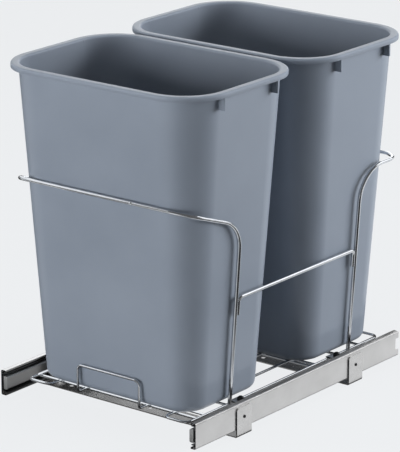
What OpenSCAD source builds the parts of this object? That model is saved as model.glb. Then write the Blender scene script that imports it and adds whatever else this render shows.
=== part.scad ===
// Pull-out bin frame: two tapered bins on a wire carriage, carried by two
// telescopic ball slides that are joined by two floor straps.
// Millimetres. +X right, +Y to the back of the cabinet, +Z up.
// The origin lies on the cabinet floor, in the middle of the floor screw pattern.

/* [Slides] */
// Length of the cabinet member of each slide
slide_l = 508; // [440:1:600]
// Height of the cabinet member
slide_h = 39.2; // [36:0.1:46]
// Thickness of a closed slide
slide_t = 11.7; // [11.5:0.1:15]
// Sheet thickness of all three slide members
sheet = 1.2; // [0.9:0.1:1.5]
// Diameter of the bearing balls
ball_d = 3.4; // [3:0.1:3.8]
// Distance that the carriage pulls out
travel = 460; // [300:5:460]
// Length of each ball cage
cage_l = 220; // [160:1:240]
// Number of balls in each row of a cage
balls_per_row = 8; // [4:1:12]
// How far the carriage member starts behind the front of the cabinet member
inner_back = 0.5; // [0:0.5:6]
// Depth of the notch in the back end of the cabinet member
notch_depth = 8; // [4:0.5:12]
// Height of that notch
notch_h = 18; // [10:0.5:22]

/* [Floor straps] */
// Width of each strap
strap_w = 35; // [26:1:50]
// Thickness of the strap steel
strap_t = 2; // [1.5:0.1:3]
// Distance from the front of the slides to the middle of the front strap
strap_front = 112; // [80:1:130]
// Distance between the two straps
strap_pitch = 279; // [220:1:300]
// Height of the slides above the cabinet floor
strap_drop = 11; // [8:0.5:16]
// Height of the strap tabs above the cabinet floor
tab_top = 45; // [36:0.5:48]
// Diameter of the floor screw holes
floor_hole_d = 8; // [4:0.1:9]
// Distance of the outer floor screw holes from the middle
floor_hole_x = 142; // [120:1:144]
// Distance of the inner floor screw hole from the middle
inner_hole_x = 11; // [0:1:40]
// Shank diameter of the tubular rivets in the tabs
rivet_d = 3.2; // [2.8:0.1:4.2]

/* [Wire carriage] */
// Wire diameter of the hoops and the side bars
wire_d = 6; // [5:0.1:7]
// Wire diameter of the perimeter and the bin rests
base_d = 4; // [3.8:0.1:6]
// Wire diameter of the cross wires and the bin stop
cross_d = 4; // [3.5:0.1:4.2]
// Height of the perimeter wire above the cabinet floor
base_z = 37; // [34:0.5:40]
// Gap between a bin's foot and the uprights at the sides
upright_gap = 2; // [1:0.1:10]
// Distance from the perimeter wire to the slides
side_gap = 22.3; // [18:0.1:30]
// Distance of the inner legs from the middle
leg_x = 108; // [90:1:120]
// Distance of the bin rest wires from the middle
rest_x = 57; // [40:1:70]
// How far the front corner loops reach ahead of the front bin's foot
loop_reach = 12.5; // [4:0.5:16]
// How far the back run of the perimeter wire lies behind the rear bin's foot
rear_reach = 5.5; // [0:0.5:16]
// How far the legs reach under the rear bin
leg_reach = 21.5; // [10:0.5:40]
// Distance of the first cross wire ahead of the front bin's middle
first_cross = 73; // [60:0.5:80]
// Distance of the second cross wire ahead of the front bin's middle
second_cross = 53.5; // [40:0.5:56]
// Distance of the third cross wire behind the front bin's middle
third_cross = -2; // [-10:0.5:20]
// Distance of the fourth cross wire ahead of the rear bin's middle
fourth_cross = 71.5; // [50:0.5:80]
// Distance of the fifth cross wire behind the rear bin's middle
fifth_cross = -3.5; // [-20:0.5:20]
// Distance of the last cross wire behind the rear bin's middle
last_cross = 53.5; // [40:0.5:80]
// Bend radius at the corners of the perimeter wire
corner_r = 10; // [7:0.5:11]

/* [Hoops] */
// Distance of the front uprights from the middle of the front bin
front_upright_off = -4.3; // [-20:0.1:20]
// Distance of the rear uprights from the middle of the rear bin
rear_upright_off = 15; // [0:0.1:30]
// How far the foot of an upright stands outside the perimeter wire's middle
upright_out = 1.2; // [0:0.1:2]
// Height of the front shoulder above the perimeter wire
front_shoulder_h = 276; // [240:1:300]
// Height of the front bar above the perimeter wire
front_bar_h = 315; // [290:1:340]
// Height of the rear shoulder above the perimeter wire
rear_shoulder_h = 290; // [240:1:310]
// Height of the rear bar above the perimeter wire
rear_bar_h = 290; // [270:1:320]
// Gap between the bars and the bins
bar_gap = 2.5; // [1:0.1:10]
// Gap between the shoulders and the sides of the bins
shoulder_gap = 4.6; // [3:0.1:14]
// Gap between the front bar's corners and the front bin's sides, below 0 as the bin's round corners leave room
front_corner_gap = -4.6; // [-6:0.1:10]
// Gap between the rear bar's corners and the rear bin's sides
rear_corner_gap = 5.4; // [-6:0.1:12]
// Bend radius of the shoulders
shoulder_r = 51; // [40:1:60]
// Bend radius of the front bar's corners
front_bar_r = 36; // [20:1:44]
// Bend radius of the rear bar's corners
rear_bar_r = 30; // [20:1:44]

/* [Side bars] */
// Height of the side bars above the perimeter wire
bar_h = 164; // [120:1:220]
// Length of the turned-down ends
stub_l = 26; // [18:1:40]
// Bend radius of the turned-down ends
stub_r = 7; // [6:0.5:12]

/* [Bin stop] */
// Distance of the legs from the middle
stop_x = 58; // [40:1:90]
// Height of the top bar above the perimeter wire
stop_h = 41; // [30:1:70]
// Bend radius at the top corners
stop_r = 8; // [6:0.5:14]
// Gap between the stop and the front bin
stop_gap = 2.5; // [1:0.1:10]

/* [Brackets] */
// Width of each bracket along the slide
bracket_w = 24; // [18:1:32]
// Thickness of the bracket steel
bracket_t = 1.6; // [1.2:0.1:2]
// Gap between a front bracket and the upright before it
front_bracket_gap = 2; // [1:0.5:8]
// Gap between a rear bracket and the upright behind it
rear_bracket_gap = 25; // [1:0.5:34]
// Shank diameter of the bracket screws
screw_d = 4; // [3:0.1:5]
// Head diameter of the bracket screws
screw_head_d = 8; // [6:0.1:9]
// Diameter of the black caps
cap_d = 11; // [8:0.5:15]
// Height of the black caps
cap_h = 6.5; // [4:0.5:10]

/* [Bins] */
// Height of a bin
bin_h = 482.5; // [420:0.5:520]
// Length of a bin's foot, across the cabinet
foot_w = 290; // [270:1:300]
// Width of a bin's foot
foot_d = 181; // [170:1:196]
// Length of a bin under its rim
top_w = 353; // [330:1:360]
// Width of a bin under its rim
top_d = 247; // [230:1:252]
// Corner radius of the foot
foot_r = 40; // [30:1:50]
// Corner radius under the rim
top_r = 64; // [50:1:70]
// Wall thickness
wall = 2.4; // [1.8:0.1:4]
// Overhang of the rim
rim_lip = 11; // [8:0.5:14]
// Height of the rim
rim_h = 7.5; // [6:0.5:14]
// Gap between the two rims
rim_gap = 9; // [4:1:30]
// How far the front rim stands in front of the slides
rim_lead = 8.5; // [0:0.5:20]
// Rounding of the foot's edge
foot_round = 12; // [8:0.5:20]
// Distance of the ribs under the rim from the middle of a bin
rib_off = 61.5; // [30:0.5:70]
// Thickness of a rib
rib_t = 3.5; // [2:0.5:6]
// Height of a rib below the rim
rib_h = 19; // [8:0.5:24]

/* [Hidden] */
$fn = 48;
// Running gap between sheet parts of a slide
slide_gap = 0.25;
// Thickness of the cage sheet
cage_t = 0.6;
// Play of a ball between its two races
ball_play = 0.1;
// Depth to which welded wires sink into each other
weld = 0.4;
// Length by which the straight runs of a wire reach into its bends
bend_lap = 0.2;
// Swelling of a wire in its bends
bend_swell = 0.02;
// Gap under a bin that rests on the wires
seat_gap = 0.3;
// Clearance of a shank in its hole
hole_gap = 0.02;
// Inside bend radius of sheet steel
sheet_r = 1.2;
// Overlap that makes a cut pass right through
eps = 1;
// Segments of the corners that shape the moulded bins
mould_fn = 32;

// Places along Y are measured from the front of the slides, then moved to the origin
y_origin = strap_front + strap_pitch / 2;

// Slide section: t runs inwards from the outer face, heights from the slide's middle
slide_mid_z = strap_drop + slide_h / 2;
race = ball_d + ball_play;
outer_in = slide_h / 2 - sheet;
middle_out = outer_in - race;
middle_in = middle_out - sheet;
inner_out = middle_in - race;
lip_depth = 1.5;
cage1_t0 = sheet + slide_gap;
middle_t0 = cage1_t0 + cage_t + slide_gap;
cage2_t0 = middle_t0 + sheet + slide_gap;
inner_t0 = cage2_t0 + cage_t + slide_gap + 0.15;
outer_reach = slide_t - 2.7;
middle_reach = slide_t - sheet - 1;
ball_t1 = (middle_t0 + outer_reach) / 2 - 0.5;
ball_t2 = (inner_t0 + middle_reach) / 2;
cage_reach1 = outer_reach - sheet - 0.6;
cage_reach2 = middle_reach - 0.4;
bumper_l = 10;
bumper_y = slide_l - notch_depth - 2 - bumper_l;
member_end = bumper_y - 0.5;
middle_lead = 2;
// The cages sit where their rows stay between both races over the whole travel
cage_y = (travel / 4 + member_end - travel / 4 - cage_l) / 2;

// Carriage and bins
bin_z = base_z + base_d / 2 + seat_gap;
rim_w = top_w + 2 * rim_lip;
rim_d = top_d + 2 * rim_lip;
front_bin_y = rim_d / 2 - rim_lead;
rear_bin_y = front_bin_y + rim_d + rim_gap;
side_x = foot_w / 2 + upright_gap + wire_d / 2;
slide_in_x = side_x + side_gap;
slide_out_x = slide_in_x + slide_t;
cross_z = base_z - base_d / 2 - cross_d / 2 + weld;
loop_y = front_bin_y - foot_d / 2 - loop_reach;
rear_run_y = rear_bin_y + foot_d / 2 + rear_reach;
leg_end_y = rear_bin_y - foot_d / 2 + leg_reach;
front_upright_y = front_bin_y + front_upright_off;
rear_upright_y = rear_bin_y + rear_upright_off;
front_crosses = [for (off = [-first_cross, -second_cross, third_cross]) front_bin_y + off];
rear_crosses = [for (off = [-fourth_cross, fifth_cross, last_cross]) rear_bin_y + off];
cross_ys = concat(front_crosses, rear_crosses);
stop_y = front_bin_y - half_at(foot_d, top_d, base_z + stop_h) - stop_gap - cross_d / 2;
stop_foot_z = cross_z + cross_d - 2 * weld;
bracket_z = base_z + base_d / 2 - weld / 2;
bracket_low = slide_mid_z - inner_out + 1;
front_bracket_y = front_upright_y + wire_d / 2 + front_bracket_gap + bracket_w / 2;
rear_bracket_y = rear_upright_y - wire_d / 2 - rear_bracket_gap - bracket_w / 2;
bracket_ys = [front_bracket_y, rear_bracket_y];
screw_z = slide_mid_z;
screw_head_h = 2.4;
screw_past = 3;
rivet_head = 0.8;
rivet_z = slide_mid_z - 1.5;

// Half the outside size of a bin at height z above the floor, from its foot and top sizes
function half_at(foot, top, z) = (foot + (top - foot) * (z - bin_z) / bin_h) / 2;

function unit(v) = v / norm(v);

// Direction of run i of a wire with the points p
function run_dir(p, i) = unit(p[i + 1] - p[i]);

// Angle that the wire turns through at the end of run i
function turn(p, i) = acos(run_dir(p, i) * run_dir(p, i + 1));

// Direction, square to run i, in which the wire turns at its end
function turn_dir(p, i) = unit(run_dir(p, i + 1) - run_dir(p, i) * (run_dir(p, i) * run_dir(p, i + 1)));

// The turn direction of run i - 1 carried round its bend to run i
function carried(p, i) =
    turn_dir(p, i - 1) * cos(turn(p, i - 1)) - run_dir(p, i - 1) * sin(turn(p, i - 1));

// Roll about run i that brings the carried direction to the next turn direction
function roll(p, i) = i >= len(p) - 2 ? 0
    : atan2(cross(carried(p, i), turn_dir(p, i)) * run_dir(p, i), carried(p, i) * turn_dir(p, i));

// Length of wire that the bend at point i takes from each run beside it
function setback(p, r, i) = i == 0 || i == len(p) - 1 ? 0 : r[i - 1] * tan(turn(p, i - 1) / 2);

// Run i along Z, then its bend towards X, then the rest of the wire
module run(p, r, d, i) {
    length = norm(p[i + 1] - p[i]) - setback(p, r, i) - setback(p, r, i + 1);
    lap0 = i > 0 ? bend_lap : 0;
    lap1 = i < len(p) - 2 ? bend_lap : 0;
    translate([0, 0, -lap0])
        cylinder(h = length + lap0 + lap1, d = d);
    if (i < len(p) - 2)
        translate([r[i], 0, length]) {
            rotate([90, 0, 180])
                rotate_extrude(angle = turn(p, i))
                    translate([r[i], 0])
                        circle(d = d + 2 * bend_swell);
            rotate([0, turn(p, i), 0])
                translate([-r[i], 0, 0])
                    rotate([0, 0, roll(p, i + 1)])
                        run(p, r, d, i + 1);
        }
}

// A wire of diameter d through the points p, with bend radius r[i] at point i + 1
module wire(p, r, d) {
    z = run_dir(p, 0);
    x = turn_dir(p, 0);
    y = cross(z, x);
    multmatrix([[x[0], y[0], z[0], p[0][0]], [x[1], y[1], z[1], p[0][1]], [x[2], y[2], z[2], p[0][2]], [0, 0, 0, 1]])
        run(p, r, d, 0);
}

// A wire that starts in the middle plane, and its mirror image
module wire_pair(p, r, d) {
    for (flip = [0, 1])
        mirror([flip, 0, 0])
            wire(p, r, d);
}

// A straight wire along X or Y
module rod(a, b, d) {
    translate(a)
        rotate(b[0] == a[0] ? [-90, 0, 0] : [0, 90, 0])
            cylinder(h = norm(b - a), d = d);
}

// Moves places measured from the front of the slides to the origin
module place() {
    translate([0, -y_origin, 0])
        children();
}

// side is 1 on the right and -1 on the left
module on_side(side) {
    mirror([side < 0 ? 1 : 0, 0, 0])
        children();
}

// Extrudes a section, drawn with t inwards and height from the slide's middle, along the right slide
module slide_run(y0, l) {
    place()
        translate([slide_out_x, y0 + l, slide_mid_z])
            mirror([1, 0, 0])
                rotate([90, 0, 0])
                    linear_extrude(l)
                        children();
}

// Quarter ring that joins a web and a flange, centred on its bend
module corner_ring(r) {
    intersection() {
        difference() {
            circle(r = r + sheet);
            circle(r = r);
        }
        translate([-r - sheet, 0])
            square(r + sheet);
    }
}

// Channel section with its web at t0, flanges to reach, half height h, and flange ends turned in by lip
module channel(t0, reach, h, lip = 0) {
    bend_t = t0 + sheet + sheet_r;
    translate([t0, -h + sheet_r + sheet])
        square([sheet, 2 * (h - sheet_r - sheet)]);
    for (flip = [0, 1])
        mirror([0, flip]) {
            translate([bend_t, h - sheet - sheet_r])
                corner_ring(sheet_r);
            if (lip > 0)
                polygon([[bend_t, h], [bend_t, h - sheet], [reach - sheet, h - sheet],
                    [reach - sheet, h - sheet - lip], [reach, h - sheet - lip], [reach, h]]);
            else
                translate([bend_t, h - sheet])
                    square([reach - bend_t, sheet]);
        }
}

module outer_member(side) {
    color("#c3c4c6")
        on_side(side)
            difference() {
                slide_run(0, slide_l)
                    channel(0, outer_reach, slide_h / 2, lip_depth);
                place() {
                    translate([slide_out_x - sheet - eps, slide_l - notch_depth, slide_mid_z - notch_h / 2])
                        cube([sheet + 2 * eps, notch_depth + eps, notch_h]);
                    for (y = [strap_front, strap_front + strap_pitch])
                        translate([slide_out_x - sheet - eps, y, rivet_z])
                            rotate([0, 90, 0])
                                cylinder(h = sheet + 2 * eps, d = rivet_d + 2 * hole_gap);
                }
            }
}

module middle_member(side) {
    color("#b2b4b7")
        on_side(side)
            slide_run(middle_lead, member_end - middle_lead)
                channel(middle_t0, middle_reach, middle_out);
}

// The carriage member, with the tab that closes its front end
module inner_member(side) {
    color("#cfd0d2")
        on_side(side)
            difference() {
                union() {
                    slide_run(inner_back, member_end - inner_back)
                        translate([slide_t, 0])
                            mirror([1, 0])
                                channel(0, slide_t - inner_t0, inner_out);
                    slide_run(inner_back, sheet)
                        translate([inner_t0, -inner_out + sheet / 2])
                            square([slide_t - inner_t0 - sheet / 2, 2 * inner_out - sheet]);
                }
                place()
                    for (y = bracket_ys)
                        translate([slide_in_x - eps, y, screw_z])
                            rotate([0, 90, 0])
                                cylinder(h = sheet + 2 * eps, d = screw_d + 2 * hole_gap);
            }
}

// Places children at the balls of one cage: two rows at heights above and below the middle
module at_balls(t, h) {
    pitch = cage_l / balls_per_row;
    place()
        for (i = [0 : balls_per_row - 1], up = [-1, 1])
            translate([slide_out_x - t, cage_y + (i + 0.5) * pitch, slide_mid_z + up * h])
                children();
}

// Ball cage: a web with two strips that lie between the races
module cage(side, t0, reach, t_ball, h) {
    color("#8d9094")
        on_side(side)
            difference() {
                slide_run(cage_y, cage_l) {
                    translate([t0, -h - cage_t / 2])
                        square([cage_t, 2 * h + cage_t]);
                    for (up = [-1, 1])
                        translate([t0, up * h - cage_t / 2])
                            square([reach - t0, cage_t]);
                }
                at_balls(t_ball, h)
                    cylinder(h = 2 * ball_d, d = ball_d + 4 * hole_gap, center = true);
            }
}

module balls(side, t, h) {
    color("#dcdde0")
        on_side(side)
            at_balls(t, h)
                sphere(d = ball_d);
}

outer_row = (outer_in + middle_out) / 2;
inner_row = (middle_in + inner_out) / 2;

// Flat strap across the floor whose ends turn up as tabs on the slides
module strap(y) {
    tab_r = 5;
    color("#8f9194")
        place()
            difference() {
                translate([0, y + strap_w / 2, 0])
                    rotate([90, 0, 0])
                        linear_extrude(strap_w)
                            for (flip = [0, 1])
                                mirror([flip, 0]) {
                                    square([slide_out_x - sheet_r, strap_t]);
                                    translate([slide_out_x - sheet_r, strap_t + sheet_r])
                                        intersection() {
                                            difference() {
                                                circle(r = sheet_r + strap_t);
                                                circle(r = sheet_r);
                                            }
                                            translate([0, -sheet_r - strap_t])
                                                square(sheet_r + strap_t);
                                        }
                                    translate([slide_out_x, strap_t + sheet_r])
                                        square([strap_t, tab_top - strap_t - sheet_r]);
                                }
                for (side = [-1, 1])
                    on_side(side) {
                        translate([slide_out_x - eps, y, rivet_z])
                            rotate([0, 90, 0])
                                cylinder(h = strap_t + 2 * eps, d = rivet_d + 2 * hole_gap);
                        for (back = [-1, 1])
                            translate([slide_out_x - eps, y + back * (strap_w / 2 - tab_r), tab_top - tab_r])
                                rotate([90, 0, 90])
                                    linear_extrude(strap_t + 2 * eps)
                                        difference() {
                                            translate([back > 0 ? 0 : -tab_r - eps, 0])
                                                square(tab_r + eps);
                                            circle(tab_r);
                                        }
                    }
                for (x = [-floor_hole_x, inner_hole_x, floor_hole_x])
                    translate([x, y, -eps])
                        cylinder(h = strap_t + 2 * eps, d = floor_hole_d);
            }
}

module front_strap() {
    strap(strap_front);
}

module rear_strap() {
    strap(strap_front + strap_pitch);
}

// Tubular rivets: a low head on the tab, a shank flush with the inside of the slide
module strap_rivets() {
    color("#a4a6a9")
        place()
            for (side = [-1, 1], y = [strap_front, strap_front + strap_pitch])
                on_side(side)
                    translate([slide_out_x - sheet, y, rivet_z])
                        rotate([0, 90, 0])
                            difference() {
                                union() {
                                    cylinder(h = sheet + strap_t + rivet_head, d = rivet_d);
                                    translate([0, 0, sheet + strap_t])
                                        cylinder(h = rivet_head, d = rivet_d * 1.5);
                                }
                                translate([0, 0, sheet])
                                    cylinder(h = strap_t + rivet_head + eps, d = rivet_d * 0.6);
                            }
}

// Rubber stops that the closing members meet at the back of the slides
module rail_bumpers() {
    bumper_t = middle_reach - sheet;
    bumper_h = 2 * inner_out;
    color("#2a2b2d")
        place()
            for (side = [-1, 1])
                on_side(side)
                    translate([slide_out_x - sheet - bumper_t, bumper_y, slide_mid_z - bumper_h / 2])
                        cube([bumper_t, bumper_l, bumper_h]);
}

// Outline wire of the carriage: back run, sides, front corner loops and the legs under the front bin
module perimeter_wire() {
    corners = [[0, rear_run_y], [side_x, rear_run_y], [side_x, loop_y], [leg_x, loop_y],
        [leg_x, leg_end_y], [side_x - base_d / 2 + weld, leg_end_y]];
    color("#d8dadd")
        place()
            wire_pair([for (q = corners) [q[0], q[1], base_z]], [for (i = [1 : 4]) corner_r], base_d);
}

// Two straight wires along the carriage that both bins stand on, from behind the bin stop's feet
module rest_wires() {
    overhang = 6;
    color("#d8dadd")
        place()
            for (side = [-1, 1])
                rod([side * rest_x, cross_ys[1] - overhang, base_z],
                    [side * rest_x, cross_ys[len(cross_ys) - 1] + overhang, base_z], base_d);
}

// Straight wires across the carriage, welded under the perimeter and the rests
module cross_wires() {
    overhang = 3;
    color("#d2d4d7")
        place()
            for (y = cross_ys)
                rod([-side_x - overhang, y, cross_z], [side_x + overhang, y, cross_z], cross_d);
}

// Hoop that rises from the perimeter wire and runs round the outside of a bin; away is -1 or 1 along Y
module hoop(y, away, bin_y, shoulder_h, bar_z_h, corner_gap, bar_r) {
    shoulder_z = base_z + shoulder_h;
    bar_z = base_z + bar_z_h;
    shoulder_x = half_at(foot_w, top_w, shoulder_z) + shoulder_gap + wire_d / 2;
    bar_x = half_at(foot_w, top_w, bar_z) + corner_gap + wire_d / 2;
    bar_y = bin_y + away * (half_at(foot_d, top_d, bar_z) + bar_gap + wire_d / 2);
    corners = [[0, bar_y, bar_z], [bar_x, bar_y, bar_z], [shoulder_x, y, shoulder_z],
        [side_x + upright_out, y, base_z + base_d / 2 - 2 * weld]];
    color("#d8dadd")
        place()
            wire_pair(corners, [bar_r, shoulder_r], wire_d);
}

module front_hoop() {
    hoop(front_upright_y, -1, front_bin_y, front_shoulder_h, front_bar_h, front_corner_gap, front_bar_r);
}

module rear_hoop() {
    hoop(rear_upright_y, 1, rear_bin_y, rear_shoulder_h, rear_bar_h, rear_corner_gap, rear_bar_r);
}

// Distance of an upright from the middle at height h above the perimeter wire
function upright_x(shoulder_h, h) =
    let (foot = side_x + upright_out)
    foot + (half_at(foot_w, top_w, base_z + shoulder_h) + shoulder_gap + wire_d / 2 - foot) * h / shoulder_h;

// Bar between the two uprights of one side, with its ends turned down and welded to them
module side_bar(side) {
    beside = wire_d - weld;
    front_y = front_upright_y + beside;
    rear_y = rear_upright_y - beside;
    front_top = [upright_x(front_shoulder_h, bar_h), front_y, base_z + bar_h];
    rear_top = [upright_x(rear_shoulder_h, bar_h), rear_y, base_z + bar_h];
    front_low = [upright_x(front_shoulder_h, bar_h - stub_l), front_y, base_z + bar_h - stub_l];
    rear_low = [upright_x(rear_shoulder_h, bar_h - stub_l), rear_y, base_z + bar_h - stub_l];
    color("#d8dadd")
        place()
            on_side(side)
                wire([front_low, front_top, rear_top, rear_low], [stub_r, stub_r], wire_d);
}

// Low hoop in front of the front bin, with its feet welded on the first cross wire
module bin_stop() {
    top_z = base_z + stop_h;
    foot_y = cross_ys[0] + cross_d / 2;
    corners = [[0, stop_y, top_z], [stop_x, stop_y, top_z], [stop_x, stop_y, stop_foot_z],
        [stop_x, foot_y, stop_foot_z]];
    foot_bend = cross_d;
    color("#d8dadd")
        place()
            wire_pair(corners, [stop_r, foot_bend], cross_d);
}

// Angle bracket: its top lies on the perimeter wire, its flange is screwed to the carriage member
module bracket(side, y) {
    inner_edge = side_x - base_d / 2 - 1;
    color("#b9bbbe")
        place()
            on_side(side)
                translate([0, y - bracket_w / 2, 0])
                    difference() {
                        union() {
                            translate([inner_edge, 0, bracket_z])
                                cube([slide_in_x - inner_edge, bracket_w, bracket_t]);
                            translate([slide_in_x - bracket_t, 0, bracket_low])
                                cube([bracket_t, bracket_w, bracket_z + bracket_t - bracket_low]);
                        }
                        translate([slide_in_x - bracket_t - eps, bracket_w / 2, screw_z])
                            rotate([0, 90, 0])
                                cylinder(h = bracket_t + 2 * eps, d = screw_d + 2 * hole_gap);
                    }
}

// Pan-head screws that hold the brackets to the carriage members
module bracket_screws() {
    color("#9a9c9f")
        place()
            for (side = [-1, 1], y = bracket_ys)
                on_side(side)
                    translate([slide_in_x - bracket_t, y, screw_z])
                        rotate([0, 90, 0]) {
                            cylinder(h = bracket_t + sheet + screw_past, d = screw_d);
                            translate([0, 0, -screw_head_h])
                                cylinder(h = screw_head_h, d = screw_head_d);
                        }
}

// Black domed caps on the brackets
module bracket_caps() {
    cap_x = side_x + wire_d / 2 + cap_d / 2;
    r = (cap_d * cap_d / 4 + cap_h * cap_h) / (2 * cap_h);
    color("#141416")
        place()
            for (side = [-1, 1], y = bracket_ys)
                on_side(side)
                    translate([cap_x, y, bracket_z + bracket_t])
                        intersection() {
                            translate([0, 0, cap_h - r])
                                sphere(r);
                            cylinder(h = cap_h + eps, d = cap_d + eps);
                        }
}

// Slab with round corners, w by d outside, h thick
module slab(w, d, r, h) {
    hull()
        for (x = [-1, 1], y = [-1, 1])
            translate([x * (w / 2 - r), y * (d / 2 - r), 0])
                cylinder(h = h, r = r, $fn = mould_fn);
}

// Tapered moulded form, drawn in by inset all round, from height z0 to z1
module bin_form(inset, z0, z1) {
    skin = 0.1;
    w0 = foot_w - 2 * inset;
    d0 = foot_d - 2 * inset;
    hull() {
        for (step = [[1, 0], [0.5, 0.134], [0.134, 0.5], [0, 1]])
            translate([0, 0, z0 + step[1] * foot_round])
                slab(w0 - 2 * step[0] * foot_round, d0 - 2 * step[0] * foot_round,
                    foot_r - inset - step[0] * foot_round, skin);
        translate([0, 0, z1 - skin])
            slab(top_w - 2 * inset, top_d - 2 * inset, top_r - inset, skin);
    }
}

// Places the four ribs under the rim, square blocks of the height h from z
module ribs(z, h) {
    inner = half_at(foot_w, top_w, bin_z + z) - wall / 2;
    for (side = [-1, 1], off = [-rib_off, rib_off])
        on_side(side)
            translate([inner, off - rib_t / 2, z])
                cube([rim_w / 2 - inner, rib_t, h]);
}

// One moulded bin: tapered wall, closed foot, hollow turned-down rim and ribs under its ends
module bin(y) {
    color("#828b96")
        place()
            translate([0, y, bin_z])
                difference() {
                    union() {
                        bin_form(0, 0, bin_h);
                        translate([0, 0, bin_h - rim_h])
                            slab(rim_w, rim_d, top_r + rim_lip, rim_h);
                        ribs(bin_h - rim_h - rib_h, rib_h + wall);
                    }
                    bin_form(wall, wall, bin_h + eps);
                    difference() {
                        translate([0, 0, bin_h - rim_h - eps])
                            slab(rim_w - 2 * wall, rim_d - 2 * wall, top_r + rim_lip - wall, rim_h - wall + eps);
                        bin_form(0, 0, bin_h);
                        ribs(bin_h - rim_h - rib_h, rim_h + rib_h);
                    }
                }
}

module front_bin() {
    bin(front_bin_y);
}

module rear_bin() {
    bin(rear_bin_y);
}

front_strap();
rear_strap();
outer_member(-1);  // left_outer_member
outer_member(1);  // right_outer_member
strap_rivets();
rail_bumpers();
middle_member(-1);  // left_middle_member
middle_member(1);  // right_middle_member
cage(-1, cage1_t0, cage_reach1, ball_t1, outer_row);  // left_outer_cage
cage(1, cage1_t0, cage_reach1, ball_t1, outer_row);  // right_outer_cage
cage(-1, cage2_t0, cage_reach2, ball_t2, inner_row);  // left_inner_cage
cage(1, cage2_t0, cage_reach2, ball_t2, inner_row);  // right_inner_cage
balls(-1, ball_t1, outer_row);  // left_outer_balls
balls(1, ball_t1, outer_row);  // right_outer_balls
balls(-1, ball_t2, inner_row);  // left_inner_balls
balls(1, ball_t2, inner_row);  // right_inner_balls
inner_member(-1);  // left_inner_member
inner_member(1);  // right_inner_member
perimeter_wire();
rest_wires();
cross_wires();
front_hoop();
rear_hoop();
side_bar(-1);  // left_side_bar
side_bar(1);  // right_side_bar
bin_stop();
bracket(-1, front_bracket_y);  // front_left_bracket
bracket(1, front_bracket_y);  // front_right_bracket
bracket(-1, rear_bracket_y);  // rear_left_bracket
bracket(1, rear_bracket_y);  // rear_right_bracket
bracket_screws();
bracket_caps();
front_bin();
rear_bin();
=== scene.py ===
# Pull-out bin frame: two moulded bins on a chromed wire carriage between ball-bearing slides.
# All sizes are in millimetres, turned to metres by MM. -Y is the front of the cabinet, +Z is up.
import math

import bmesh
import bpy
from mathutils import Matrix, Vector


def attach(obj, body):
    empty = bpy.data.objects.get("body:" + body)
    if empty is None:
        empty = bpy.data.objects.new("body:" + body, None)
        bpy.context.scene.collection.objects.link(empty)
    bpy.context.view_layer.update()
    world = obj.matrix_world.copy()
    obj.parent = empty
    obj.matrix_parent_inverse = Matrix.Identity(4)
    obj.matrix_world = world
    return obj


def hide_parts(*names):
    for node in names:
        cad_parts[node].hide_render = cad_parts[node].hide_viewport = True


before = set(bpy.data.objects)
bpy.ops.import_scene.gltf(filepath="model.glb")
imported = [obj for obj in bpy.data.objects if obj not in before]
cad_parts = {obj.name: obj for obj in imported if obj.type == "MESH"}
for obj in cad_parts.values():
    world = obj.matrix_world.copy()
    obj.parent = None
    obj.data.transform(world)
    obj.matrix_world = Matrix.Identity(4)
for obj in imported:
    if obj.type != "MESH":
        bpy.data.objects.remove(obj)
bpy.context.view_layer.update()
MM = 0.001

# Floor straps
# Two strips of dull zinc-plated steel, sheared, pierced and bent up at the ends.
# They are screwed to the cabinet floor and hold both slides.
SRGB_KNEE = 0.04045
NOISE_RANGE = (0.3, 0.7)
# Shade is painted on sheet ends that face along Y and stand off the floor: a dark colour there stands for
# their shadow gaps and dark reflections.
CUT_FACING = 0.98
CUT_FROM_Z = 6.0


def linear(hex_code):
    """An sRGB hex colour as linear red, green, blue and alpha."""
    channels = [int(hex_code[i:i + 2], 16) / 255 for i in (1, 3, 5)]
    return [c / 12.92 if c <= SRGB_KNEE else ((c + 0.055) / 1.055) ** 2.4 for c in channels] + [1.0]


def feed(node, sockets):
    """Fills a node's inputs, each with a value, an output, or the first output of another node."""
    for name, value in sockets.items():
        if isinstance(value, bpy.types.Node):
            value = value.outputs[0]
        if isinstance(value, bpy.types.NodeSocket):
            node.id_data.links.new(value, node.inputs[name])
        else:
            node.inputs[name].default_value = value


def add(tree, kind, sockets=None, colours=(), **settings):
    """Adds one node with its settings and inputs; a ramp's colours span the usual range of a noise."""
    node = tree.nodes.new(kind)
    for field, value in settings.items():
        setattr(node, field, value)
    for i, hex_code in enumerate(colours):
        node.color_ramp.elements[i].position = NOISE_RANGE[i]
        node.color_ramp.elements[i].color = linear(hex_code)
    feed(node, sockets or {})
    return node


def finish_named(name):
    """A new material with its tree, its shader and its Object coordinates."""
    material = bpy.data.materials.new(name)
    material.use_nodes = True
    tree = material.node_tree
    coords = add(tree, "ShaderNodeTexCoord").outputs["Object"]
    return material, tree, tree.nodes["Principled BSDF"], coords


def per_metre(size_mm):
    """Texture scale that makes one feature of a pattern about size_mm wide."""
    return 1 / (size_mm * MM)


def paint(node_name, material):
    """Gives a CAD node its finish."""
    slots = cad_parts[node_name].data.materials
    slots.clear()
    slots.append(material)


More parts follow.
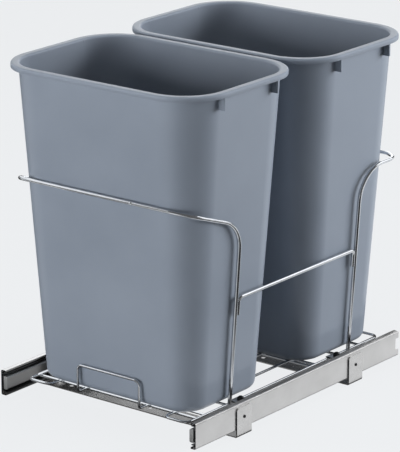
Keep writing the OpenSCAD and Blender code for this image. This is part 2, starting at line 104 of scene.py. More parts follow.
def with_shaded_ends(tree, coords, plating, end_shade):
    """The colour of a plated sheet, with painted shade on its cut ends, which face along Y and stand off the
    floor.
    """
    normal = add(tree, "ShaderNodeNewGeometry").outputs["True Normal"]
    along = add(tree, "ShaderNodeSeparateXYZ", {"Vector": normal}).outputs["Y"]
    facing = add(tree, "ShaderNodeMath", {0: along}, operation="ABSOLUTE")
    end = add(tree, "ShaderNodeMath", {0: facing, 1: CUT_FACING}, operation="GREATER_THAN")
    height = add(tree, "ShaderNodeSeparateXYZ", {"Vector": coords}).outputs["Z"]
    off_floor = add(tree, "ShaderNodeMath", {0: height, 1: CUT_FROM_Z * MM}, operation="GREATER_THAN")
    cut = add(tree, "ShaderNodeMath", {0: end, 1: off_floor}, operation="MULTIPLY")
    return add(tree, "ShaderNodeMix", {0: cut, 6: plating, 7: linear(end_shade)}, data_type="RGBA").outputs[2]


# Dull zinc plating on hot-rolled strip: cloudy grey, with soft patches where the plating is thicker.
# The clouds are about 14 mm across and the fine scale 0.6 mm, drawn at 1.2 mm so that it shows.
STRIP_CLOUD, MILL_SCALE = 14.0, 1.2
# Painted shade: the near-black that the cut ends of the straps, cabinet members and brackets take.
END_SHADE_DARK = "#2c2d2f"
strip_zinc, tree, shader, coords = finish_named("dull zinc plated strip steel")
clouds = add(tree, "ShaderNodeTexNoise", {"Vector": coords, "Scale": per_metre(STRIP_CLOUD), "Detail": 4.0})
mill_scale = add(tree, "ShaderNodeTexNoise",
                 {"Vector": coords, "Scale": per_metre(MILL_SCALE), "Detail": 2.0})
plating = add(tree, "ShaderNodeValToRGB", {"Fac": clouds}, colours=("#cbcac9", "#d6d5d4"))
feed(shader, {
    "Base Color": with_shaded_ends(tree, coords, plating, END_SHADE_DARK),
    "Roughness": add(tree, "ShaderNodeMapRange", {"Value": clouds, "To Min": 0.2, "To Max": 0.32}),
    "Normal": add(tree, "ShaderNodeBump", {"Height": mill_scale, "Strength": 0.008, "Distance": 0.05 * MM}),
    "Metallic": 0.9})
for strap in ("front_strap", "rear_strap"):
    paint(strap, strip_zinc)

# Strap rivets
# One blackened tubular rivet through each strap tab and the cabinet member of the slide.
# Black oxide on steel: nearly black, with a low oily sheen in patches of about 1.5 mm.
RIVET_OIL = 1.5
black_oxide, tree, shader, coords = finish_named("black oxide steel")
oil = add(tree, "ShaderNodeTexNoise", {"Vector": coords, "Scale": per_metre(RIVET_OIL), "Detail": 3.0})
feed(shader, {
    "Base Color": add(tree, "ShaderNodeValToRGB", {"Fac": oil}, colours=("#161719", "#26282b")),
    "Roughness": add(tree, "ShaderNodeMapRange", {"Value": oil, "To Min": 0.38, "To Max": 0.55}),
    "Metallic": 0.6})
paint("strap_rivets", black_oxide)

# Slide members
# Each slide has a cabinet, a middle and a carriage member, roll-formed from bright zinc-plated strip.
# The strip keeps fine rolling lines along its length, so its gloss is drawn out along the slide.
# Rolling lines are about 0.3 mm apart, drawn 0.9 mm apart, and run 160 mm along Y.
LINE_GAP, LINE_RUN = 0.9, 160.0
SHEET_CLOUD = 45.0


def zinc_sheet(name, end_shade):
    """Bright zinc on rolled sheet, with the given colour painted on its cut ends as shade."""
    material, tree, shader, coords = finish_named(name)
    drawn_out = (1.0, LINE_GAP / LINE_RUN, 1.0)
    along = add(tree, "ShaderNodeMapping", {"Vector": coords, "Scale": drawn_out})
    lines = add(tree, "ShaderNodeTexNoise", {"Vector": along, "Scale": per_metre(LINE_GAP), "Detail": 3.0})
    clouds = add(tree, "ShaderNodeTexNoise",
                 {"Vector": coords, "Scale": per_metre(SHEET_CLOUD), "Detail": 3.0})
    plating = add(tree, "ShaderNodeValToRGB", {"Fac": clouds}, colours=("#cecdcc", "#d9d8d7"))
    feed(shader, {
        "Base Color": with_shaded_ends(tree, coords, plating, end_shade),
        "Roughness": add(tree, "ShaderNodeMapRange", {"Value": lines, "To Min": 0.26, "To Max": 0.4}),
        "Normal": add(tree, "ShaderNodeBump", {"Height": lines, "Strength": 0.08, "Distance": 0.05 * MM}),
        "Metallic": 0.85})
    return material


# Painted shade: the cabinet members and brackets take near-black cut ends; the carriage member's closed end
# stays light.
slide_zinc = zinc_sheet("bright zinc plated sheet steel", END_SHADE_DARK)
closed_zinc = zinc_sheet("bright zinc plated sheet steel with a closed end", "#d4d5d5")
# The middle member's plating is drawn darker and duller than the other members', in streaks about 6 mm wide.
STREAK_W, STREAK_RUN = 6.0, 90.0
darker_middle_zinc, tree, shader, coords = finish_named("darker middle zinc plated sheet steel")
streaks = add(tree, "ShaderNodeMapping", {"Vector": coords, "Scale": (1.0, STREAK_W / STREAK_RUN, 1.0)})
middle_streaks = add(tree, "ShaderNodeTexNoise", {"Vector": streaks, "Scale": per_metre(STREAK_W), "Detail": 3.0})
feed(shader, {
    "Base Color": add(tree, "ShaderNodeValToRGB", {"Fac": middle_streaks}, colours=("#5c5e61", "#76787b")),
    "Roughness": add(tree, "ShaderNodeMapRange", {"Value": middle_streaks, "To Min": 0.24, "To Max": 0.4}),
    "Metallic": 1.0})
for side in ("left", "right"):
    paint(f"{side}_outer_member", slide_zinc)
    paint(f"{side}_inner_member", closed_zinc)
    paint(f"{side}_middle_member", darker_middle_zinc)

# Ball cages and balls
# Stamped plain steel strips hold rows of polished balls between the slide members.
# The cages are dull, with oil in patches of about 8 mm; the balls are ground and polished under a thin film.
CAGE_OIL, BALL_FILM = 8.0, 2.0
cage_steel, tree, shader, coords = finish_named("plain stamped steel")
oil = add(tree, "ShaderNodeTexNoise", {"Vector": coords, "Scale": per_metre(CAGE_OIL), "Detail": 3.0})
feed(shader, {
    "Base Color": add(tree, "ShaderNodeValToRGB", {"Fac": oil}, colours=("#3a3b3e", "#4a4c4f")),
    "Roughness": add(tree, "ShaderNodeMapRange", {"Value": oil, "To Min": 0.3, "To Max": 0.45}),
    "Metallic": 1.0})
ball_steel, tree, shader, coords = finish_named("polished bearing steel")
film = add(tree, "ShaderNodeTexNoise", {"Vector": coords, "Scale": per_metre(BALL_FILM), "Detail": 2.0})
feed(shader, {
    "Base Color": add(tree, "ShaderNodeValToRGB", {"Fac": film}, colours=("#c4c6c8", "#d6d8da")),
    "Roughness": add(tree, "ShaderNodeMapRange", {"Value": film, "To Min": 0.08, "To Max": 0.16}),
    "Metallic": 1.0})
for side in ("left", "right"):
    for row in ("outer", "inner"):
        paint(f"{side}_{row}_cage", cage_steel)
        paint(f"{side}_{row}_balls", ball_steel)

# Rail bumpers
# Small moulded rubber blocks at the back of each slide that stop the carriage softly.
# Black rubber is matt, and greys a little in patches of about 3 mm where wax has come to the surface.
RUBBER_BLOOM = 3.0
rubber, tree, shader, coords = finish_named("moulded black rubber")
bloom = add(tree, "ShaderNodeTexNoise", {"Vector": coords, "Scale": per_metre(RUBBER_BLOOM), "Detail": 4.0})
feed(shader, {
    "Base Color": add(tree, "ShaderNodeValToRGB", {"Fac": bloom}, colours=("#18181a", "#232326")),
    "Roughness": add(tree, "ShaderNodeMapRange", {"Value": bloom, "To Min": 0.65, "To Max": 0.85})})
paint("rail_bumpers", rubber)

# Wire carriage
# Cold-drawn steel wire, cut, bent and spot welded, then plated with bright nickel and chrome.
# One looped wire makes the floor's outline, and straight wires cross it and carry the bins.
WIRE_D = 6.0
BASE_D = 4.0
CROSS_D = 4.0
WELD = 0.4
ORIGIN_Y = 251.5
BASE_Z = 37.0
SIDE_X = 150.0
LEG_X = 108.0
REST_X = 57.0
LOOP_Y = 23.0
REAR_RUN_Y = 500.0
LEG_END_Y = 335.0
CORNER_R = 10.0
CROSS_YS = (53.0, 72.5, 124.0, 332.5, 400.5, 457.5)
CROSS_Z = BASE_Z - BASE_D / 2 - CROSS_D / 2 + WELD
REST_END, CROSS_END = 6.0, 3.0
NUGGET = Vector((1.9, 1.9, 0.9))
WIRE_SIDES = 20
BEND_STEP, LEAST_STEPS = 7, 4
CREASE = math.radians(40)
MERGE = 1e-6

# Bright chrome plate over drawn wire: a mirror with a faint blue cast and slight waviness from the drawing.
# The waves are about 7 mm long and polishing leaves haze in patches of 20 mm.
CHROME_HAZE, CHROME_WAVE = 20.0, 7.0
chrome, tree, shader, coords = finish_named("bright chrome plated wire")
haze = add(tree, "ShaderNodeTexNoise", {"Vector": coords, "Scale": per_metre(CHROME_HAZE), "Detail": 3.0})
waves = add(tree, "ShaderNodeTexNoise", {"Vector": coords, "Scale": per_metre(CHROME_WAVE), "Detail": 1.0})
feed(shader, {
    "Base Color": add(tree, "ShaderNodeValToRGB", {"Fac": haze}, colours=("#d3d6da", "#e2e4e7")),
    "Roughness": add(tree, "ShaderNodeMapRange", {"Value": haze, "To Min": 0.07, "To Max": 0.16}),
    "Normal": add(tree, "ShaderNodeBump", {"Height": waves, "Strength": 0.1, "Distance": 0.2 * MM}),
    "Metallic": 1.0})


def at(x, y, z):
    """A point of the part, with Y measured from the front of the slides."""
    return Vector((x, y - ORIGIN_Y, z)) * MM


def draw_wire(mesh, points, radii, diameter):
    """Draws one bent wire into mesh: a ring is pushed along each run and spun round each bend."""
    runs = [b - a for a, b in zip(points, points[1:])]
    start = Matrix.Translation(points[0]) @ runs[0].to_track_quat("Z", "Y").to_matrix().to_4x4()
    ring = bmesh.ops.create_circle(mesh, segments=WIRE_SIDES, radius=diameter / 2 * MM, matrix=start)["verts"]
    edges = list({e for v in ring for e in v.link_edges})
    first = list(edges)
    back = 0.0
    for i, run in enumerate(runs):
        way = run.normalized()
        last = i == len(runs) - 1
        turn = 0.0 if last else way.angle(runs[i + 1])
        ahead = 0.0 if last else radii[i] * MM * math.tan(turn / 2)
        new = bmesh.ops.extrude_edge_only(mesh, edges=edges)["geom"]
        edges = [g for g in new if isinstance(g, bmesh.types.BMEdge) and g.is_boundary]
        bmesh.ops.translate(mesh, verts=list({v for e in edges for v in e.verts}),
                            vec=way * (run.length - back - ahead))
        if last:
            break
        axis = way.cross(runs[i + 1]).normalized()
        inward = axis.cross(way)
        centre = points[i + 1] - way * ahead + inward * radii[i] * MM
        swept = bmesh.ops.spin(mesh, geom=edges, cent=centre, axis=axis, angle=turn,
                               steps=max(LEAST_STEPS, round(math.degrees(turn) / BEND_STEP)))["geom_last"]
        edges = [g for g in swept if isinstance(g, bmesh.types.BMEdge)]
        back = ahead
    bmesh.ops.holes_fill(mesh, edges=first + edges, sides=0)


def piece_from(mesh, name, material, body, slot, *stands_for):
    """Turns a bmesh into a smooth-shaded piece that rides on a body and stands for CAD nodes."""
    bmesh.ops.remove_doubles(mesh, verts=mesh.verts, dist=MERGE)
    bmesh.ops.recalc_face_normals(mesh, faces=mesh.faces)
    data = bpy.data.meshes.new(name)
    mesh.to_mesh(data)
    mesh.free()
    data.polygons.foreach_set("use_smooth", [True] * len(data.polygons))
    data.set_sharp_from_angle(angle=CREASE)
    data.materials.append(material)
    obj = bpy.data.objects.new(name, data)
    bpy.context.scene.collection.objects.link(obj)
    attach(obj, body)
    if stands_for:
        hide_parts(*stands_for)
    return obj


def mirrored(points):
    """The same points on the other side of the middle."""
    return [Vector((-p.x, p.y, p.z)) for p in points]


def both_halves(half):
    """A route that starts in the middle plane, made whole."""
    return mirrored(half[:0:-1]) + half[1:]


outline = [at(0, REAR_RUN_Y, BASE_Z), at(SIDE_X, REAR_RUN_Y, BASE_Z), at(SIDE_X, LOOP_Y, BASE_Z),
           at(LEG_X, LOOP_Y, BASE_Z), at(LEG_X, LEG_END_Y, BASE_Z),
           at(SIDE_X - BASE_D / 2 + WELD, LEG_END_Y, BASE_Z)]
route = both_halves(outline)
mesh = bmesh.new()
draw_wire(mesh, route, [CORNER_R] * (len(route) - 2), BASE_D)
piece_from(mesh, "carriage_outline", chrome, "carriage", "chrome_wire", "perimeter_wire")

mesh = bmesh.new()
for x in (-REST_X, REST_X):
    ends = [at(x, CROSS_YS[1] - REST_END, BASE_Z), at(x, CROSS_YS[-1] + REST_END, BASE_Z)]
    draw_wire(mesh, ends, [], BASE_D)
piece_from(mesh, "bin_rests", chrome, "carriage", "chrome_wire", "rest_wires")

mesh = bmesh.new()
for y in CROSS_YS:
    ends = [at(-SIDE_X - CROSS_END, y, CROSS_Z), at(SIDE_X + CROSS_END, y, CROSS_Z)]
    draw_wire(mesh, ends, [], CROSS_D)
piece_from(mesh, "carriage_crosses", chrome, "carriage", "chrome_wire", "cross_wires")

# Spot welds squeeze a little metal out where a cross wire meets the wires above it.
mesh = bmesh.new()
for y in CROSS_YS:
    for x in (-SIDE_X, -LEG_X, -REST_X, REST_X, LEG_X, SIDE_X):
        if abs(x) == LEG_X and y > LEG_END_Y or abs(x) == REST_X and y < CROSS_YS[1]:
            continue
        nugget = bmesh.ops.create_uvsphere(mesh, u_segments=12, v_segments=8, radius=1.0)["verts"]
        bmesh.ops.scale(mesh, verts=nugget, vec=NUGGET * MM)
        bmesh.ops.translate(mesh, verts=nugget, vec=at(x, y, BASE_Z - BASE_D / 2 + WELD / 2))
piece_from(mesh, "carriage_welds", chrome, "carriage", "chrome_wire")

# Hoops and side bars
# Each hoop is one chromed wire: it rises beside a bin, leans out and runs round the bin's outer face.
# A bar with turned-down ends is welded between the uprights on each side.
BIN_Z = 39.3
BIN_H = 482.5
FOOT_W, FOOT_D, FOOT_R = 290.0, 181.0, 40.0
TOP_W, TOP_D, TOP_R = 353.0, 247.0, 64.0
FRONT_BIN_Y, REAR_BIN_Y = 126.0, 404.0
FRONT_UPRIGHT_Y, REAR_UPRIGHT_Y = 121.7, 419.0
FRONT_SHOULDER_H, REAR_SHOULDER_H = 276.0, 290.0
FRONT_BAR_H, REAR_BAR_H = 315.0, 290.0
FRONT_CORNER_GAP, REAR_CORNER_GAP = -4.6, 5.4
FRONT_BAR_R, REAR_BAR_R = 36.0, 30.0
SHOULDER_GAP = 4.6
BAR_GAP = 2.5
SHOULDER_R = 51.0
UPRIGHT_X = SIDE_X + 1.2
SIDE_BAR_H = 164.0
STUB_L, STUB_R = 26.0, 7.0
BUTT_X = 62.0
BUTT_BEAD = Vector((4.0, 3.7, 3.7))


def half_at(foot, top, z):
    """Half the outside size of a bin at height z."""
    return (foot + (top - foot) * (z - BIN_Z) / BIN_H) / 2


def bar_y(bin_y, away, bar_h):
    """Where a hoop's bar passes the outer face of its bin."""
    return bin_y + away * (half_at(FOOT_D, TOP_D, BASE_Z + bar_h) + BAR_GAP + WIRE_D / 2)


def shoulder_x(shoulder_h):
    """Distance of a hoop's shoulder from the middle."""
    return half_at(FOOT_W, TOP_W, BASE_Z + shoulder_h) + SHOULDER_GAP + WIRE_D / 2


def upright_x(shoulder_h, h):
    """Distance of an upright from the middle, h above the carriage floor."""
    return UPRIGHT_X + (shoulder_x(shoulder_h) - UPRIGHT_X) * h / shoulder_h


def hoop(name, node, y, away, bin_y, shoulder_h, bar_h, corner_gap, bar_r):
    """One hoop, from its feet at y over the shoulders to the bar on the side of the bin that faces away."""
    outer_y, bar_z = bar_y(bin_y, away, bar_h), BASE_Z + bar_h
    corner_x = half_at(FOOT_W, TOP_W, bar_z) + corner_gap + WIRE_D / 2
    half = [at(0, outer_y, bar_z), at(corner_x, outer_y, bar_z),
            at(shoulder_x(shoulder_h), y, BASE_Z + shoulder_h),
            at(UPRIGHT_X, y, BASE_Z + BASE_D / 2 - 2 * WELD)]
    mesh = bmesh.new()
    draw_wire(mesh, both_halves(half), [SHOULDER_R, bar_r, bar_r, SHOULDER_R], WIRE_D)
    piece_from(mesh, name, chrome, "carriage", "chrome_wire", node)


hoop("front_hoop_wire", "front_hoop", FRONT_UPRIGHT_Y, -1, FRONT_BIN_Y,
     FRONT_SHOULDER_H, FRONT_BAR_H, FRONT_CORNER_GAP, FRONT_BAR_R)
hoop("rear_hoop_wire", "rear_hoop", REAR_UPRIGHT_Y, 1, REAR_BIN_Y,
     REAR_SHOULDER_H, REAR_BAR_H, REAR_CORNER_GAP, REAR_BAR_R)
beside = WIRE_D - WELD
stub_h = SIDE_BAR_H - STUB_L
side_bar = [
    at(upright_x(FRONT_SHOULDER_H, stub_h), FRONT_UPRIGHT_Y + beside, BASE_Z + stub_h),
    at(upright_x(FRONT_SHOULDER_H, SIDE_BAR_H), FRONT_UPRIGHT_Y + beside, BASE_Z + SIDE_BAR_H),
    at(upright_x(REAR_SHOULDER_H, SIDE_BAR_H), REAR_UPRIGHT_Y - beside, BASE_Z + SIDE_BAR_H),
    at(upright_x(REAR_SHOULDER_H, stub_h), REAR_UPRIGHT_Y - beside, BASE_Z + stub_h)]
for side, route in (("right", side_bar), ("left", mirrored(side_bar))):
    mesh = bmesh.new()
    draw_wire(mesh, route, [STUB_R, STUB_R], WIRE_D)
    piece_from(mesh, f"{side}_bar_wire", chrome, "carriage", "chrome_wire", f"{side}_side_bar")

# The hoops are closed by a butt weld in the bar, ground to a low bead and plated over.
mesh = bmesh.new()
for x, bin_y, away, bar_h in ((BUTT_X, FRONT_BIN_Y, -1, FRONT_BAR_H), (-BUTT_X, REAR_BIN_Y, 1, REAR_BAR_H)):
    bead = bmesh.ops.create_uvsphere(mesh, u_segments=16, v_segments=10, radius=1.0)["verts"]
    bmesh.ops.scale(mesh, verts=bead, vec=BUTT_BEAD * MM)
    bmesh.ops.translate(mesh, verts=bead, vec=at(x, bar_y(bin_y, away, bar_h), BASE_Z + bar_h))
piece_from(mesh, "hoop_butt_welds", chrome, "carriage", "chrome_wire")

# Bin stop
# A low hoop of thinner chromed wire that keeps the front bin from sliding forwards.
# Its feet turn back and are welded on the first cross wire.
STOP_X, STOP_H, STOP_R, STOP_GAP = 58.0, 41.0, 8.0, 2.5
stop_top = BASE_Z + STOP_H
stop_y = FRONT_BIN_Y - half_at(FOOT_D, TOP_D, stop_top) - STOP_GAP - CROSS_D / 2
stop_foot = CROSS_Z + CROSS_D - 2 * WELD
half = [at(0, stop_y, stop_top), at(STOP_X, stop_y, stop_top), at(STOP_X, stop_y, stop_foot),
        at(STOP_X, CROSS_YS[0] + CROSS_D / 2, stop_foot)]
mesh = bmesh.new()
draw_wire(mesh, both_halves(half), [CROSS_D, STOP_R, STOP_R, CROSS_D], CROSS_D)
piece_from(mesh, "bin_stop_wire", chrome, "carriage", "chrome_wire", "bin_stop")

# Brackets, screws and caps
# Zinc-plated angle brackets carry the wire carriage on the slides, one pan-head screw in each.
# A black moulded cap closes the top of each bracket.
for place in ("front_left", "front_right", "rear_left", "rear_right"):
    paint(f"{place}_bracket", slide_zinc)
# Barrel-plated screws are a shade darker than the sheet, in patches of about 2.5 mm.
SCREW_PATCH = 2.5
screw_steel, tree, shader, coords = finish_named("zinc plated screw steel")
patches = add(tree, "ShaderNodeTexNoise", {"Vector": coords, "Scale": per_metre(SCREW_PATCH), "Detail": 3.0})
feed(shader, {
    "Base Color": add(tree, "ShaderNodeValToRGB", {"Fac": patches}, colours=("#a9abad", "#bfc1c2")),
    "Roughness": add(tree, "ShaderNodeMapRange", {"Value": patches, "To Min": 0.22, "To Max": 0.36}),
    "Metallic": 1.0})
paint("bracket_screws", screw_steel)
# Moulded nylon is smooth and half glossy, with the mould's grain of about 1.2 mm.
CAP_GRAIN = 1.2
cap_plastic, tree, shader, coords = finish_named("moulded black nylon")
grain = add(tree, "ShaderNodeTexNoise", {"Vector": coords, "Scale": per_metre(CAP_GRAIN), "Detail": 3.0})
feed(shader, {
    "Base Color": add(tree, "ShaderNodeValToRGB", {"Fac": grain}, colours=("#121214", "#1b1b1e")),
    "Roughness": add(tree, "ShaderNodeMapRange", {"Value": grain, "To Min": 0.28, "To Max": 0.42})})
paint("bracket_caps", cap_plastic)

# Bins
# Two loose tapered bins, injection moulded in blue-grey polypropylene with a rim turned out and down.
# Small ribs under the rim's ends stiffen it. The bins stand on the rest wires and lift straight out.
WALL = 2.4
RIM_LIP = 11.0
RIM_H = 7.5
RIM_INNER_R, RIM_OUTER_R = 3.6, 3.2
FOOT_ROUND = 12.0
RIB_OFF, RIB_T, RIB_H = 61.5, 3.5, 19.0
RIB_EDGE = 0.6
CORNER_STEPS, FOOT_STEPS, RIM_STEPS, RIB_STEPS = 14, 6, 5, 3

# Moulded polypropylene: satin, with a fine spark-eroded grain and faint flow clouds.
# The grain is about 0.4 mm, drawn at 1.1 mm so that it shows; the flow clouds are about 120 mm.
BIN_FLOW, BIN_GRAIN = 120.0, 1.1
bin_plastic, tree, shader, coords = finish_named("moulded polypropylene")
flow = add(tree, "ShaderNodeTexNoise", {"Vector": coords, "Scale": per_metre(BIN_FLOW), "Detail": 3.0})
grain = add(tree, "ShaderNodeTexNoise", {"Vector": coords, "Scale": per_metre(BIN_GRAIN), "Detail": 2.0})
feed(shader, {
    "Base Color": add(tree, "ShaderNodeValToRGB", {"Fac": flow}, colours=("#7f8895", "#858e9b")),
    "Roughness": add(tree, "ShaderNodeMapRange", {"Value": flow, "To Min": 0.36, "To Max": 0.44}),
    "Normal": add(tree, "ShaderNodeBump", {"Height": grain, "Strength": 0.1, "Distance": 0.05 * MM}),
    "IOR": 1.49})


def round_loop(mesh, w, d, r, z, y):
    """A rectangle with round corners at height z above the bin's foot: its edges and its face."""
    corners = bmesh.ops.create_grid(mesh, x_segments=1, y_segments=1, size=0.5)["verts"]
    bmesh.ops.scale(mesh, verts=corners, vec=(w * MM, d * MM, 1.0))
    bmesh.ops.translate(mesh, verts=corners, vec=at(0, y, BIN_Z + z))
    made = bmesh.ops.bevel(mesh, geom=corners, offset=r * MM, offset_type="OFFSET", segments=CORNER_STEPS,
                           profile=0.5, affect="VERTICES", material=-1)
    face = max({f for v in made["verts"] for f in v.link_faces}, key=lambda f: f.calc_area())
    return list(face.edges), face


def bin_piece(name, node, body, y):
    """One bin: a shell bridged from foot to rim and given its wall, and four ribs under the rim."""
    inner = (FOOT_W - 2 * WALL, FOOT_D - 2 * WALL, FOOT_R - WALL)
    mouth = (TOP_W - 2 * WALL, TOP_D - 2 * WALL, TOP_R - WALL)
    rim = (TOP_W + 2 * RIM_LIP, TOP_D + 2 * RIM_LIP, TOP_R + RIM_LIP)
    mesh = bmesh.new()
    loops = []
    for i, (outline, z) in enumerate(((inner, WALL), (mouth, BIN_H), (rim, BIN_H), (rim, BIN_H - RIM_H))):
        edges, face = round_loop(mesh, *outline, z, y)
        if i:
            bmesh.ops.delete(mesh, geom=[face], context="FACES_ONLY")
        loops.append(edges)
    for low, high in zip(loops, loops[1:]):
        bmesh.ops.bridge_loops(mesh, edges=low + high)
    for edges, radius, steps in ((loops[0], FOOT_ROUND - WALL, FOOT_STEPS),
                                 (loops[1], RIM_INNER_R, RIM_STEPS),
                                 (loops[2], RIM_OUTER_R, RIM_STEPS)):
        bmesh.ops.bevel(mesh, geom=edges, offset=radius * MM, offset_type="OFFSET", segments=steps,
                        profile=0.5, affect="EDGES", material=-1, clamp_overlap=True)
    shell = piece_from(mesh, name, bin_plastic, body, "bin_plastic", node)
    wall = shell.modifiers.new("wall", "SOLIDIFY")
    wall.thickness = WALL * MM
    wall.offset = -1.0
    wall.use_even_offset = True
    flat = shell.modifiers.new("flat_sides", "WEIGHTED_NORMAL")
    flat.keep_sharp = True
    rib_z = BIN_Z + BIN_H - RIM_H - RIB_H
    inside = half_at(FOOT_W, TOP_W, rib_z) - WALL / 2
    outside = rim[0] / 2 - WALL / 2
    height = RIB_H + RIM_H - WALL
    mesh = bmesh.new()
    for side in (-1, 1):
        for off in (-RIB_OFF, RIB_OFF):
            rib = bmesh.ops.create_cube(mesh, size=1.0)["verts"]
            bmesh.ops.scale(mesh, verts=rib, vec=((outside - inside) * MM, RIB_T * MM, height * MM))
            bmesh.ops.translate(mesh, verts=rib,
                                vec=at(side * (inside + outside) / 2, y + off, rib_z + height / 2))
    bmesh.ops.bevel(mesh, geom=mesh.edges, offset=RIB_EDGE * MM, offset_type="OFFSET", segments=RIB_STEPS,
                    profile=0.5, affect="EDGES", material=-1)
    piece_from(mesh, name + "_ribs", bin_plastic, body, "bin_plastic")


bin_piece("front_bin_shell", "front_bin", "front_bin_body", FRONT_BIN_Y)
bin_piece("rear_bin_shell", "rear_bin", "rear_bin_body", REAR_BIN_Y)

# Studio
# A pale paper floor that glows for the eye and for mirrors, and still takes the part's shadow.
# All lengths of the studio are in metres.
BACKGROUND = linear("#edeff1")
FLOOR_HALF = 30.0
FLOOR_GLOW, GLOW_SHARE = 1.09, 0.88
SKY_LIGHT, SKY_SEEN = 0.01, 1.0


def stage_piece(name, mesh, material):
    """Puts a mesh of the studio, which isn't part of the object, into the scene."""
    data = bpy.data.meshes.new(name)
    mesh.to_mesh(data)
    mesh.free()
    data.materials.append(material)
    obj = bpy.data.objects.new(name, data)
    bpy.context.scene.collection.objects.link(obj)
    return obj


def seen_directly(tree):
    """One for rays from the camera, from a mirror or through glass, and nought for light that scatters."""
    rays = add(tree, "ShaderNodeLightPath").outputs
    seen = rays["Is Camera Ray"]
    for ray in ("Is Glossy Ray", "Is Transmission Ray"):
        seen = add(tree, "ShaderNodeMath", {0: seen, 1: rays[ray]}, operation="MAXIMUM")
    return seen


paper, tree, shader, _ = finish_named("pale studio paper")
feed(shader, {"Base Color": linear("#9b9d9e"), "Roughness": 1.0, "Specular IOR Level": 0.0})
glow = add(tree, "ShaderNodeEmission", {"Color": BACKGROUND, "Strength": FLOOR_GLOW})
share = add(tree, "ShaderNodeMath", {0: seen_directly(tree), 1: GLOW_SHARE}, operation="MULTIPLY")
mixed = add(tree, "ShaderNodeMixShader", {0: share, 1: shader, 2: glow})
feed(tree.nodes["Material Output"], {"Surface": mixed})
mesh = bmesh.new()
bmesh.ops.create_grid(mesh, x_segments=1, y_segments=1, size=FLOOR_HALF)
stage_piece("studio_floor", mesh, paper)

world = bpy.data.worlds.new("studio")
bpy.context.scene.world = world
world.use_nodes = True
tree = world.node_tree
strength = {"Value": seen_directly(tree), "To Min": SKY_LIGHT, "To Max": SKY_SEEN}
feed(tree.nodes["Background"], {"Color": BACKGROUND, "Strength": add(tree, "ShaderNodeMapRange", strength)})

# Reflection cards
# Chrome and zinc show what stands round them, so cards that only reflections see stand in the studio.
# Most glow evenly. The paper card, a painted reflection of the floor, is bright on the left and dark on the
# right, fading from FADE_FROM to FADE_TO across the front of the part.
TARGET = Vector((0.0, 0.0, 0.25))
FADE_FROM, FADE_TO = 0.2, 0.5
ROOM_W, ROOM_H, ROOM_LEVEL = 12.0, 4.5, 0.13
CARD_Z = 0.0004
WIRE_TOP = 0.03915


def aimed(azimuth, elevation, distance, target=TARGET):
    """A place that looks at the target; azimuth 0 is in front of the part, 90 to its right."""
    a, e = math.radians(azimuth), math.radians(elevation)
    back = Vector((math.sin(a) * math.cos(e), -math.cos(a) * math.cos(e), math.sin(e)))
    return Matrix.Translation(target + back * distance) @ back.to_track_quat("Z", "Y").to_matrix().to_4x4()


def lying(x, y, z=CARD_Z):
    """A place for a card that lies flat."""
    return Matrix.Translation((x, y, z))


def standing(axis, x, y, z):
    """A place for a card that is turned up about an axis."""
    return Matrix.Translation((x, y, z)) @ Matrix.Rotation(math.radians(90), 4, axis)


def reflection_card(name, mesh, left, right):
    """A card that only reflections see, with its brightness on the left and on the right of the part."""
    painted_reflection, tree, _, coords = finish_named(name + " cloth")
    across = add(tree, "ShaderNodeSeparateXYZ", {"Vector": coords}).outputs["X"]
    fade = {"Value": across, "From Min": FADE_FROM, "From Max": FADE_TO, "To Min": left, "To Max": right}
    level = add(tree, "ShaderNodeMapRange", fade)
    glow = add(tree, "ShaderNodeEmission", {"Color": BACKGROUND, "Strength": level})
    feed(tree.nodes["Material Output"], {"Surface": glow})
    card = stage_piece(name, mesh, painted_reflection)
    card.visible_camera = False
    card.visible_diffuse = False
    card.visible_shadow = False
    card.visible_transmission = False


def flat_card(name, left, right, *sheets):
    """A card of flat sheets, each with a place, a width and a depth."""
    mesh = bmesh.new()
    for place, width, depth in sheets:
        bmesh.ops.create_grid(mesh, x_segments=1, y_segments=1, size=0.5,
                              matrix=place @ Matrix.Diagonal((width, depth, 1.0, 1.0)))
    reflection_card(name, mesh, left, right)


# The studio itself: a dark room, a lit backdrop behind on the left, a softbox behind on the right and a
# bright wall on the left.
mesh = bmesh.new()
bmesh.ops.create_cube(mesh, size=1.0)
bmesh.ops.scale(mesh, verts=mesh.verts, vec=(ROOM_W, ROOM_W, ROOM_H))
bmesh.ops.translate(mesh, verts=mesh.verts, vec=(0.0, 0.0, ROOM_H / 2 + CARD_Z))
room_floor = min(mesh.faces, key=lambda f: f.calc_center_median().z)
bmesh.ops.delete(mesh, geom=[room_floor], context="FACES_ONLY")
reflection_card("dark_room", mesh, ROOM_LEVEL, ROOM_LEVEL)
for name, level, sheet in (
        ("backdrop_card", 2.1, (aimed(218.0, 19.0, 4.2), 3.8, 2.0)),
        ("softbox_card", 1.7, (aimed(150.0, 25.0, 3.2), 2.2, 2.2)),
        ("left_wall_card", 1.2, (standing("Y", -3.0, 0.0, 2.5), 3.6, 8.0))):
    flat_card(name, level, level, sheet)
flat_card("paper_card", 0.85, 0.04, (lying(1.55, -1.51), 3.7, 2.18), (lying(1.85, 0.04), 3.1, 0.92))
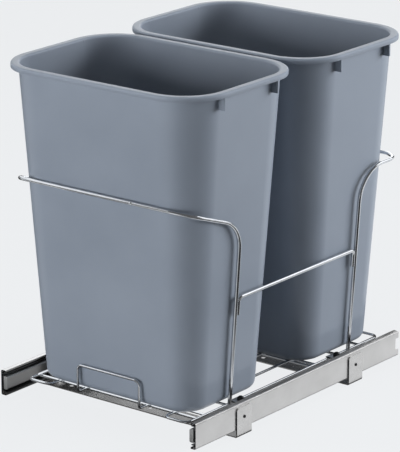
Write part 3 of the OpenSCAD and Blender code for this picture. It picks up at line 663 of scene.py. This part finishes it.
# Painted shade and light that only reflections see: shade on the paper round the part, light that bounces off
# the front bin, and the dark sides of the slides.
for name, level, sheet in (
        ("under_card", 0.25, (lying(0.0, 0.055), 0.31, 0.41)),
        ("front_floor_card", 0.45, (lying(-0.025, -0.37), 0.65, 0.1)),
        ("left_paper_card", 0.06, (lying(-0.75, -1.0), 0.9, 1.0)),
        ("back_paper_card", 0.05, (lying(-1.625, 1.375), 2.75, 3.25)),
        ("front_edge_card", 0.03, (lying(-0.09, -0.235), 0.52, 0.17)),
        ("bounce_card", 1.35, (lying(0.0, -0.178, WIRE_TOP), 0.3, 0.058)),
        ("strap_card", 0.5, (lying(0.007, -0.07, WIRE_TOP), 0.286, 0.1)),
        ("right_edge_card", 0.02, (lying(0.1785, 0.01), 0.025, 0.56)),
        ("rear_floor_card", 0.05, (standing("X", 0.0, 0.265, 0.041), 0.33, 0.08)),
        ("left_floor_card", 0.03, (standing("Y", -0.156, -0.08, 0.026), 0.046, 0.16)),
        ("slide_card", 0.3, (standing("Y", -0.1535, -0.212, 0.028), 0.034, 0.1)),
        ("flange_card", 0.06, (standing("Y", 0.153, 0.02, 0.061), 0.03, 0.56))):
    flat_card(name, level, level, sheet)


# Lamps and camera
# Two large softboxes, in front on the left and behind on the right, leave the near corners in half shade.
# A small one overhead lights the rims, a weak one fills in, and the camera has the photo's view.
def soft_light(name, place, width, height, watts):
    """A softbox, whose own face is left out of reflections because the cards stand in for it."""
    data = bpy.data.lights.new(name, "AREA")
    data.shape = "RECTANGLE"
    data.size = width
    data.size_y = height
    data.energy = watts
    lamp = bpy.data.objects.new(name, data)
    lamp.matrix_world = place
    lamp.visible_glossy = False
    bpy.context.scene.collection.objects.link(lamp)


soft_light("left_softbox", aimed(-17.0, 6.0, 4.4), 3.4, 1.8, 189.0)
soft_light("right_softbox", aimed(135.0, 13.0, 4.4), 3.4, 2.4, 264.0)
soft_light("top_softbox", aimed(38.0, 86.0, 4.0), 1.0, 1.0, 72.0)
soft_light("front_fill", aimed(44.0, 10.0, 4.4), 2.8, 1.6, 6.0)

camera_data = bpy.data.cameras.new("photo_camera")
camera_data.lens = 235.13
camera_data.sensor_width = 36.0
camera = bpy.data.objects.new("photo_camera", camera_data)
camera.matrix_world = aimed(38.02, 17.20, 4.374, Vector((0.02154, -0.03372, 0.25982)))
bpy.context.scene.collection.objects.link(camera)
bpy.context.scene.camera = camera
bpy.context.scene.view_settings.view_transform = "Standard"
